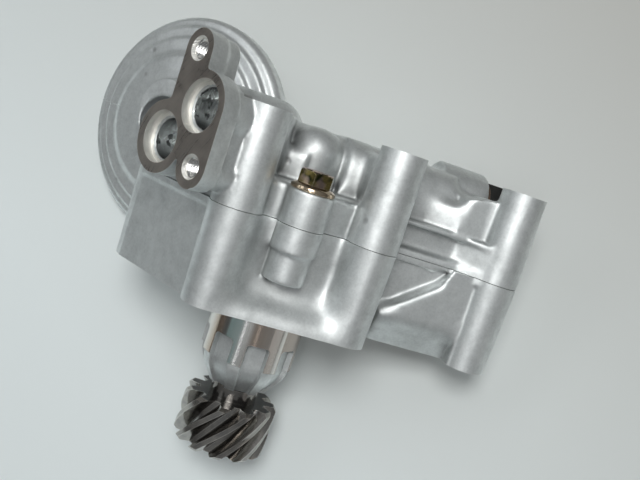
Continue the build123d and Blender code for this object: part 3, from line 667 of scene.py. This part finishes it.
def prism(corners, low, high):
    """Closed prism over a plan outline of (x, y) corners, all in metres."""
    tool = bmesh.new()
    ring = [tool.verts.new((x, y, low)) for x, y in corners]
    base = tool.faces.new(ring)
    grown = bmesh.ops.extrude_face_region(tool, geom=[base])["geom"]
    raised = [v for v in grown if isinstance(v, bmesh.types.BMVert)]
    bmesh.ops.translate(tool, vec=(0, 0, high - low), verts=raised)
    bmesh.ops.recalc_face_normals(tool, faces=tool.faces)
    return written(tool, bpy.data.meshes.new("prism"))


def cut_away(piece, tools):
    """Subtracts closed tool meshes from a piece, one after the other."""
    helpers = []
    for tool in tools:
        helper = linked("tool", tool)
        helpers.append(helper)
        cut = piece.modifiers.new("cut", "BOOLEAN")
        cut.operation = "DIFFERENCE"
        cut.solver = "MANIFOLD"
        cut.object = helper
    mesh = applied(piece)
    for helper in helpers:
        bpy.data.objects.remove(helper)
    return mesh


# %% [markdown]
# ### One casting
# Both shells go through the same steps, so one function takes each from the solid to the finished piece.

# %% One casting
cast_voxel = 0.5 * mm
cast_rounds = 4           # rounds of relaxing over a whole casting


def casting(name, node, faces, tools, budget, zones, stock, milled=None, reshaped=None):
    """Cast copy of a node: stock on its machined faces, rounded by voxels and relaxing, then cut to size.

    The budget is its number of triangles before cutting. Milled adds stock to the solid's own points and
    reshaped moves the fine ones; both take points and return them."""
    mesh = welded(nodes[node].data.copy(), 0.002 * mm)
    points = points_of(mesh)
    for face in faces:
        points = stocked(points, face, stock)
    if milled:
        points = milled(points)
    mesh.vertices.foreach_set("co", points.ravel())
    mesh.update()
    piece = new_piece(name, mesh, cast)
    remesh = piece.modifiers.new("voxels", "REMESH")
    remesh.mode = "VOXEL"
    remesh.voxel_size = cast_voxel
    mesh = applied(piece)
    ends = np.zeros(len(mesh.edges) * 2, np.int64)
    mesh.edges.foreach_get("vertices", ends)
    ends = ends.reshape(-1, 2)
    points = points_of(mesh)
    if reshaped:
        points = reshaped(points)
    points = blended(relaxed(points, ends, cast_rounds), ends, zones)
    mesh.vertices.foreach_set("co", points.ravel())
    mesh.update()
    thin = piece.modifiers.new("thin", "DECIMATE")
    thin.ratio = min(1.0, budget / (2 * len(mesh.polygons)))
    mesh = applied(piece)
    mesh = cut_away(piece, tools)
    smoothed(mesh, 40)
    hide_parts(node)
    print(name, "triangles", sum(len(p.vertices) - 2 for p in mesh.polygons))
    return piece


# %% [markdown]
# ### Finish of cut faces
# The Booleans leave clean flats and walls, and where a face lies tells which cutter made it.

# %% Finish of cut faces
def machined(piece, faces, bores, finishes):
    """Gives cut faces their finish by where they lie: flats take the first one, each bore its own.

    A flat is (centre, direction, reach). A bore is (mouth, direction out, radius, from depth, to depth,
    number of its finish), and takes every face inside that radius and between those depths."""
    mesh = piece.data
    dress(mesh, cast, *finishes)
    count = len(mesh.polygons)
    middles, normals = np.zeros(count * 3), np.zeros(count * 3)
    mesh.polygons.foreach_get("center", middles)
    mesh.polygons.foreach_get("normal", normals)
    middles, normals = middles.reshape(-1, 3), normals.reshape(-1, 3)
    finish_number = np.zeros(count, np.int32)
    slack = 0.02 * mm
    for place, along, reach in faces:
        out, aside = out_and_aside(middles, place, along)
        finish_number[(np.abs(out) < slack) & (normals @ np.array(along) > 0.999) & (aside < reach)] = 1
    for place, along, radius, start, end, number in bores:
        out, aside = out_and_aside(middles, place, along)
        finish_number[(aside < radius + slack) & (out < -start) & (out > -end - slack)] = number
    mesh.polygons.foreach_set("material_index", finish_number)
    print(piece.name, "cut faces", int((finish_number > 0).sum()))


# %% [markdown]
# ### Stock and drills
# A foundry leaves metal where a cutter will pass. Both castings get the holes of the same long bolts.

# %% Drills shared by both castings
stock = 2.0 * mm          # metal left on a machined face before it is cut
deep_stock = 3 * stock    # metal left at the joint and the mounting face, whose edges stay crisp
up = Vector((0, 0, 1))
bolt_places = [(-22.2, -22.8), (22.4, -22.8), (70.4, -13.5)]
bolt_drills = [drill((x * mm, y * mm, -5 * mm), up, 4.3 * mm, 75 * mm) for x, y in bolt_places]

# %% [markdown]
# ### Port pad
# Two stepped ports and two tapped holes are drilled after the rounding, which leaves their mouths crisp.

# %% Drills of the port pad
ports = [(0.2, 56.0), (-13.2, 43.8)]
pad_screws = [(-7.5, 71.3), (4.3, 39.1)]
seat_radius, seat_deep = 7.9 * mm, 3.0
port_radius, port_deep = 6.2 * mm, 16.0
thread_root, screw_deep = 3.0 * mm, 10.2
chamfer_mouth, chamfer_end, chamfer_deep = 3.9 * mm, 2.5 * mm, 1.2


def pad_drill(spot, radius, deep, above=0.5, mouth=None):
    """Drill for a spot (along, height) of the pad, from above its face to some millimetres deep."""
    return drill(on_pad(*spot, above), -pad_out, radius, (deep + above) * mm, mouth)


cover_drills = list(bolt_drills)
for spot in ports:
    cover_drills.append(pad_drill(spot, seat_radius, seat_deep, 1.0))
    cover_drills.append(pad_drill(spot, port_radius, port_deep))
for spot in pad_screws:
    cover_drills.append(pad_drill(spot, thread_root, screw_deep))
    cover_drills.append(pad_drill(spot, chamfer_end, chamfer_deep, 0.2, chamfer_mouth))
print("cover drills", len(cover_drills))

# %% [markdown]
# ### Upper casting
# Port pad, filter seal, boss tops and joint are cut flat. The zones are the places where neighbouring
# walls flow into each other.

# %% Upper casting
joint_gap = 0.11 * mm     # each casting stops this far from the joint face, which draws a fine dark line
behind_head = 11.0        # distance from the filter head's back at which the joint face is milled
past_head = -43.0         # beyond this place across, the joint face runs on behind the head


def on_filter(out, across):
    """Plan point given out of the filter head's back face and across it, in metres from millimetres."""
    point = head_back + filter_out * (out * mm) + filter_across * (across * mm)
    return (point.x, point.y)


def joint_mill(points):
    """Stock on the cover's joint face where the mill reaches it, so not below the filter head."""
    away = points - np.array(head_back)
    out, across = away @ np.array(filter_out), away @ np.array(filter_across)
    clear = (out < -behind_head * mm) | (across < past_head * mm)
    on_face = (np.abs(points[:, 2] - joint_z) < same) & clear
    points[on_face, 2] -= deep_stock
    return points


top_faces = [(Vector((x * mm, y * mm, boss_top_z)), up, 9 * mm) for x, y in bolt_places]
pad_face = (on_pad(-6.0, 57.0), pad_out, 27 * mm)
seal_face = (filter_face_centre, filter_out, 36 * mm)
cover_faces = top_faces + [pad_face, seal_face]
joint_outline = [
    (-0.09, -0.06), (0.10, -0.06), (0.10, 0.06), on_filter(30.0, past_head),
    on_filter(-behind_head, past_head), on_filter(-behind_head, 45.0),
]
cover_tools = [prism(joint_outline, -0.02, joint_z + joint_gap)]
cover_tools += [drill(place, along, reach + 2 * mm, 3 * stock) for place, along, reach in cover_faces]
small_bolt, small_boss = (-1.9, -24.4), 7.4
cover_zones = [
    ((-15.0, -18.0, 44.0), (-2.0, -4.0, 60.0), 80, []),
    ((-16.0, -26.0, 30.5), (19.0, -12.0, 44.5), 40, [(*small_bolt, small_boss, 0.0)]),
    ((5.0, -17.0, 44.5), (19.0, -1.0, 62.0), 90, []),
    ((33.0, -17.0, 45.0), (55.0, -3.0, 62.0), 90, []),
    ((31.0, -16.5, 31.0), (60.0, -8.0, 41.0), 25, []),
    ((-34.0, -26.0, 33.0), (-20.0, -8.0, 60.0), 12, []),
]
cover = casting(
    "cast_cover", "pump_cover", cover_faces, cover_tools + cover_drills, 185000, cover_zones, stock,
    milled=joint_mill,
)

# %% [markdown]
# ### Cut faces of the cover
# The mill left arcs round a far centre. The seats of the ports are bored, and the ports behind them are
# reamed smooth, so they are darker and show stains.

# %% Cut faces of the cover
cutter_centre = on_pad(60.0, 10.0)
milled = milled_metal(
    "milled_aluminium", (0.53, 0.475, 0.43), (0.42, 0.38, 0.35), 0.30, cutter_centre, 2500.0,
)
port_centres = [on_pad(*spot) for spot in ports]
around_ports = (port_centres[1], port_centres[0], 50.0 * mm)
bored = bored_metal("bored_aluminium", (0.97, 0.96, 0.92), 0.50, *around_ports, 2600.0, 0.0005)
reamed = bored_metal("reamed_aluminium", (0.88, 0.90, 0.90), 0.22, *around_ports, 900.0, 0.0002, stain=0.8)
bores = [(place, pad_out, seat_radius, 0.02 * mm, seat_deep * mm, 2) for place in port_centres]
bores += [(place, pad_out, port_radius + 0.05 * mm, 3.05 * mm, 20 * mm, 3) for place in port_centres]
bores += [(on_pad(*spot), pad_out, 3.7 * mm, 0.02 * mm, 12 * mm, 2) for spot in pad_screws]
machined(cover, cover_faces, bores, [milled, bored, reamed])

# %% [markdown]
# ### Lower casting
# The body is cut flat at the joint and at the mounting face. The recess beside the middle boss has a
# sloping floor in the solid, and it is made level here because its real tone is even.

# %% Lower casting
ridge_low, ridge_high = np.array([33.5, 11.5]), np.array([50.6, 24.2])     # ends of the ridge, x and z
ridge_depth, corner_depth = -16.0, -7.0   # y of the sloping floor at the ridge and at its far corner
floor_corner = np.array([30.6, 28.8])     # that corner, x and z
floor_level = -13.2


def recess_level(points):
    """Levels the sloping floor of the recess beside the middle boss.

    Its depth changes evenly from the ridge to the corner. The points on it, and the wall points between
    it and the level, move to the level."""
    x, y, z = (points / mm).T
    along = (ridge_high - ridge_low) / np.linalg.norm(ridge_high - ridge_low)
    above = along[0] * (z - ridge_low[1]) - along[1] * (x - ridge_low[0])
    corner_above = along[0] * (floor_corner[1] - ridge_low[1]) - along[1] * (floor_corner[0] - ridge_low[0])
    sloping = ridge_depth + (corner_depth - ridge_depth) * above / corner_above
    column = (x > 30.0) & (x < 54.0) & (z > 8.0) & (z < 29.3) & (above > 0.2)
    floor = column & (np.abs(y - sloping) < 0.8)
    wall = column & (y > floor_level) & (y < sloping)
    points[floor | wall, 1] = floor_level * mm
    return points


body_faces = [(Vector((0, 0, joint_z)), up, 100 * mm), (Vector((0, 0, 0)), -up, 100 * mm)]
body_tools = [
    drill((0, 0, joint_z - joint_gap), up, 120 * mm, 10 * mm), drill((0, 0, 0), -up, 120 * mm, 40 * mm),
    drill((50 * mm, -1 * mm, -1 * mm), up, 6 * mm, 21 * mm),
]
body_zones = [
    ((-20.0, -34.0, -6.0), (22.0, -10.0, 34.0), 260, [
        (*small_bolt, small_boss, 13.0), (*bolt_places[0], 5.5, -9.0), (*bolt_places[1], 5.5, -9.0),
    ]),
    ((28.0, -20.0, -6.0), (64.0, -4.0, 16.0), 90, [(*bolt_places[2], 8.0, -9.0)]),
    ((30.0, -19.0, 15.0), (60.0, -6.0, 28.0), 20, []),
]
body = casting(
    "cast_body", "pump_body", body_faces, body_tools + bolt_drills, 140000, body_zones, deep_stock,
    reshaped=recess_level,
)
machined(body, body_faces, [], [milled])

# %% [markdown]
# ## Nose
# Below the mounting face the lower casting has a turned pilot and a raw nose with cast flutes. Its radius
# is a function of the angle round the shaft and the place along it, and inside a flute it is smaller by
# the flute's depth. A dense grid holds the flutes' soft corners, which a Boolean would leave sharp.

# %% Nose surface
nose_profile = np.array([
    (1.0, 16.0), (-19.3, 16.0), (-19.7, 15.45), (-22.4, 15.0), (-24.4, 13.9), (-28.6, 11.0), (-33.0, 7.6),
])
pilot_end, soft_from = -19.4, -19.75     # the profile is sharp above the first, soft below the second
nose_top, nose_end, nose_bore = 0.5, -29.5, 7.55
flutes, flute_half, flute_top, flute_depth, flute_corner = 8, 3.6, -11.5, 1.9, 1.2
flute_round = 15.5        # radius at which a flute's width is measured


def one_turn(around, full=2 * math.pi):
    """A row of equal steps round one full turn."""
    return np.linspace(0.0, full, around, endpoint=False)[None, :]


def spread(values, around):
    """Rows of one value each, repeated at every angle."""
    return np.array(values)[:, None] * np.ones((1, around))


def turned(name, radius, height, origin, axis, closed=False):
    """Mesh of a surface round an axis, from a radius and a height for every row and angle, in millimetres.

    Closed joins the last row to the first."""
    rows, around = radius.shape
    turn = one_turn(around)[:, :, None]
    axis = np.array(Vector(axis).normalized())
    first = np.cross(axis, (0.0, 1.0, 0.0) if abs(axis[1]) < 0.9 else (1.0, 0.0, 0.0))
    first /= np.linalg.norm(first)
    second = np.cross(axis, first)
    spoke = np.cos(turn) * first + np.sin(turn) * second
    away = height[:, :, None] * axis + radius[:, :, None] * spoke
    points = (np.array(origin) + mm * away).reshape(-1, 3)
    i, j = np.meshgrid(np.arange(rows if closed else rows - 1), np.arange(around), indexing="ij")
    below, k = (i + 1) % rows, (j + 1) % around
    quads = np.stack([i * around + j, below * around + j, below * around + k, i * around + k], axis=2)
    mesh = bpy.data.meshes.new(name)
    mesh.from_pydata(points.tolist(), [], quads.reshape(-1, 4).tolist())
    smoothed(welded(mesh, 0.0005 * mm, outwards=True), 35)
    return mesh


def rounded_profile(down, blur=1.6):
    """Nose radius by height; below the turned pilot it is averaged over a short stretch each way."""
    shifts = np.linspace(-blur, blur, 9)
    lower = np.minimum(down[..., None] + shifts, soft_from)
    soft = np.interp(-lower, -nose_profile[:, 0], nose_profile[:, 1]).mean(axis=-1)
    return np.where(down > pilot_end, nose_profile[0, 1], soft)


def nose_mesh(around=720, along=180):
    """Radius from the profile by height, less the flute depth inside a rounded slot round each flute."""
    turn = one_turn(around)
    down = np.linspace(nose_top, nose_end, along)[:, None]
    outer = rounded_profile(down)
    pitch = 2 * math.pi / flutes
    from_middle = np.abs((turn + pitch / 2) % pitch - pitch / 2) * flute_round
    sideways = from_middle - (flute_half - flute_corner)
    upwards = down - (flute_top - flute_corner)
    past = np.hypot(np.maximum(sideways, 0), np.maximum(upwards, 0))
    inward = np.minimum(np.maximum(sideways, upwards), 0)
    distance = past + inward - flute_corner
    inside = np.clip(0.5 - distance / 0.5, 0, 1)
    floor = rounded_profile(np.minimum(down, pilot_end)) - flute_depth + 0.4
    flat = floor / np.cos(np.minimum(from_middle / flute_round, 0.25)) - floor * 0.012
    radius = outer + (flat - outer) * inside * inside * (3 - 2 * inside)
    bore = spread([nose_bore, nose_bore], around)
    height = np.concatenate([np.broadcast_to(down, radius.shape), spread([nose_end, nose_top], around)])
    return turned("nose", np.concatenate([radius, bore]), height, (0, 0, 0), up, closed=True)


nose = new_piece("nose", nose_mesh(), turned_nose)
print("nose faces", len(nose.data.polygons))

# %% [markdown]
# ## Threads
# The radius of a thread is a triangle wave of the height along its axis, one pitch further along for each
# turn. The two tapped holes have a thin sleeve with that wave inside, and the stud has it outside.

# %% Thread surfaces
def thread_wave(height, around, pitch):
    """Triangle wave from 0 at the root to 1 at the crest, one pitch further along for each turn."""
    phase = (height[:, None] / pitch - one_turn(around, 1.0)) % 1.0
    return np.abs(2 * phase - 1)


def tapped_sleeve(name, mouth, axis, depth, root, crest, pitch, around=72, per_pitch=8):
    """Closed sleeve inside a drilled hole: threaded inside, plain outside."""
    height = np.linspace(-1.0, -depth, int(depth / pitch * per_pitch))
    inner = root - (root - crest) * thread_wave(height, around, pitch)
    outer = np.full_like(inner, root + 0.15)
    radius = np.concatenate([inner, outer[::-1]])
    rows = spread(np.concatenate([height, height[::-1]]), around)
    piece = new_piece(name, turned(name, radius, rows, mouth, axis, closed=True), tapped)


for number, spot in enumerate(pad_screws):
    tapped_sleeve(f"pad_thread_{number}", on_pad(*spot), pad_out, 10.5, 3.0, 2.46, 1.0)

stud_out, stud_back, stud_bore, stud_body = 12.0, -16.0, 6.6, 9.0
stud_root, stud_ridge, stud_pitch, stud_chamfer = 8.55, 0.8, 1.5875, 1.0


def stud_mesh(around=96, rows=130):
    """Threaded outside from the face to a short chamfer at the tip, with a plain bore."""
    height = np.linspace(0.0, stud_out, rows)
    wave = thread_wave(height, around, stud_pitch)
    tip = np.clip((stud_out - height[:, None]) / stud_chamfer, 0, 1)
    outside = stud_root + stud_ridge * wave * tip
    radius = np.concatenate([spread([stud_body], around), outside, spread([stud_bore] * 2, around)])
    levels = spread(np.concatenate([[stud_back], height, [stud_out, stud_back]]), around)
    return turned("stud", radius, levels, filter_centre, filter_out, closed=True)


stud = new_piece("threaded_stud", stud_mesh(), plain_zinc)
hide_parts("filter_stud")
print("stud faces", len(stud.data.polygons))

# %% [markdown]
# ## Small bolt
# The bolt's radius follows a profile, and along the head that of a hexagon, cut back by a chamfer cone.

# %% Flange bolt
head_turn, across_flats, head_foot = 12.0, 10.0, 2.1


def bolt_mesh(around=360):
    """Rows of the profile from the shank's end to the dished top, with the hexagon between the cones."""
    turn = one_turn(around) - math.radians(head_turn)
    side = turn % (math.pi / 3) - math.pi / 6
    hexagon = across_flats / 2 / np.cos(side)
    shank = [(-22.0, 0.0), (-22.0, 2.95), (0.0, 2.95), (0.0, 6.85), (0.12, 7.0), (1.05, 7.0), (1.3, 6.85)]
    cone = [(1.55, 6.35), (1.9, 5.95)]
    grip = [(head_foot, 9.0), (5.3, 9.0)]
    chamfer = [(5.55, 5.8), (5.8, 5.55), (6.1, 5.2), (6.4, 4.75)]
    dish = [(6.4, 4.0), (6.25, 3.7), (6.2, 0.0)]
    profile = np.array(shank + cone + grip + chamfer + dish)
    radius, height = spread(profile[:, 1], around), spread(profile[:, 0], around)
    radius = np.where(height >= head_foot, np.minimum(radius, hexagon), radius)
    return turned("bolt", radius, height, bolt_seat, up)


zinc = zinc_film("yellow_zinc")
bolt = new_piece("flange_bolt", bolt_mesh(), zinc)
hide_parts("cover_bolt")
print("bolt faces", len(bolt.data.polygons))

# %% [markdown]
# ## Stage
# The pump lies on its back on a pale table, on the rim of its filter head, the end of its cover and its
# gear. The table is a plane just behind those points, and is clear when seen from behind.

# %% Table
table_up = Vector((-0.371, -0.874, 0.312)).normalized()
table_reach = 1.6


def deepest(direction):
    """Largest distance of any CAD vertex along a direction."""
    best = -1.0
    for node in nodes.values():
        best = max(best, float((points_of(node.data) @ np.array(direction)).max()))
    return best


table_gap = 0.4 * mm      # air left between the pump and the table
table_depth = deepest(-table_up) + table_gap
side = table_up.cross(Vector((0, 0, 1))).normalized()
rise = side.cross(table_up)
middle = -table_up * table_depth
signs = ((-1, 1), (1, 1), (1, -1), (-1, -1))
corners = [middle + (side * a + rise * b) * table_reach for a, b in signs]
table_mesh = bpy.data.meshes.new("table")
table_mesh.from_pydata([tuple(c) for c in corners], [], [(0, 1, 2, 3)])
table = linked("table", table_mesh)
if table_mesh.polygons[0].normal.dot(table_up) < 0:
    table_mesh.flip_normals()

# painted light falloff: the table is coloured darker towards its far corner
paper_near, paper_far = (0.80, 0.86, 0.865), (0.55, 0.555, 0.53)
paper_falls = Vector((0.55, 0.12, 0.83)).normalized()
paper = bpy.data.materials.new("table_paper")
paper.use_nodes = True
tree = paper.node_tree
tree.nodes.clear()
place = add(tree, "TexCoord").outputs["Object"]
painted_falloff = ramp(vector_node("DOT_PRODUCT", place, paper_falls), -0.06, 0.20)
surface = filled(add(tree, "BsdfDiffuse"), Color=mix_colour(painted_falloff, paper_near, paper_far))
clear = add(tree, "BsdfTransparent")
facing, path = add(tree, "NewGeometry"), add(tree, "LightPath")
through = math_node("MAXIMUM", facing.outputs["Backfacing"], path.outputs["Is Shadow Ray"])
blend = filled(add(tree, "MixShader"), through, surface.outputs[0], clear.outputs[0])
filled(add(tree, "OutputMaterial"), Surface=blend.outputs[0])
table_mesh.materials.append(paper)
print("table", round(table_depth / mm, 1), "mm behind the origin")

# %% [markdown]
# ### Room and lamps
# Bare metal shows what is around it. Dark walls and a paler ceiling give the bosses their dark flanks, a
# soft lamp above gives the bright streaks and the shadow, and a tall narrow one is mirrored in the pilot.
# The lamp behind lights the far side, since the table lets shadow rays through. Below the table only the
# camera sees the room, so it adds no light there.

# %% World and lamps
room_wall, room_ceiling = (0.085, 0.083, 0.080), (0.255, 0.265, 0.27)
world = bpy.data.worlds.new("studio")
scene.world = world
world.use_nodes = True
tree = world.node_tree
overhead = vector_node("DOT_PRODUCT", add(tree, "TexCoord").outputs["Generated"], table_up)
room = mix_colour(ramp(overhead, -0.1, 0.9), room_wall, room_ceiling)
seen = add(tree, "LightPath")
above_table = ramp(overhead, -0.02, 0.0)
shine = math_node("MAXIMUM", seen.outputs["Is Camera Ray"], above_table)
filled(tree.nodes["Background"], Color=room, Strength=shine)


def soft_lamp(name, place, target, size, power, colour=(1.0, 1.0, 1.0)):
    """Square area lamp at a place in millimetres, aimed at a target."""
    data = bpy.data.lights.new(name, "AREA")
    data.shape = "RECTANGLE"
    data.size, data.size_y = size[0] * mm, size[1] * mm
    data.energy = power
    data.color = colour
    lamp = linked(name, data)
    lamp.location = Vector(place) * mm
    aim = (Vector(target) - Vector(place)).normalized()
    lamp.visible_camera = False
    lamp.rotation_mode = "QUATERNION"
    lamp.rotation_quaternion = aim.to_track_quat("-Z", "Y")


centre = (0.0, 10.0, 20.0)
soft_lamp("ceiling", (-245.0, -655.0, 375.0), centre, (330.0, 280.0), 2.9, (1.0, 1.0, 0.985))
soft_lamp("front", (-167.0, -694.0, 290.0), centre, (300.0, 500.0), 0.32, (1.0, 1.0, 0.985))
soft_lamp("tube", (-278.0, -715.0, 88.0), centre, (110.0, 460.0), 0.50)
soft_lamp("window", (-620.0, -260.0, 300.0), centre, (200.0, 420.0), 0.35, (0.93, 0.97, 1.0))
soft_lamp("behind", table_up * -700.0 + Vector((0.0, 0.0, 260.0)), centre, (500.0, 500.0), 1.6)
soft_lamp("room", (480.0, -420.0, -120.0), centre, (260.0, 320.0), 0.06, (1.0, 0.98, 0.95))
print("lamps", len(bpy.data.lights))

# %% [markdown]
# ### Camera
# The camera stands close in front, and its right, down and forward directions are written out.

# %% Camera
camera_data = bpy.data.cameras.new("camera")
camera = linked("camera", camera_data)
camera_data.sensor_width = 36.0
camera_data.lens = 42.7
camera_data.clip_start = 0.01
camera_place = Vector((-53.41, -246.98, 57.81)) * mm
camera_right = Vector((0.9254, -0.2023, 0.3213))
camera_down = Vector((0.2832, -0.1959, -0.9391))
camera_ahead = Vector((0.2529, 0.9595, -0.124))
turn = Matrix((camera_right, -camera_down, -camera_ahead)).transposed()
camera.rotation_mode = "QUATERNION"
camera.rotation_quaternion = turn.to_quaternion()
camera.location = camera_place
scene.camera = camera
scene.view_settings.view_transform = "Standard"
print("camera", round(camera_place.length / mm), "mm from the origin")

# %% [markdown]
# ### Last step
# Last, the view layer is updated.

# %% Update the view layer
bpy.context.view_layer.update()
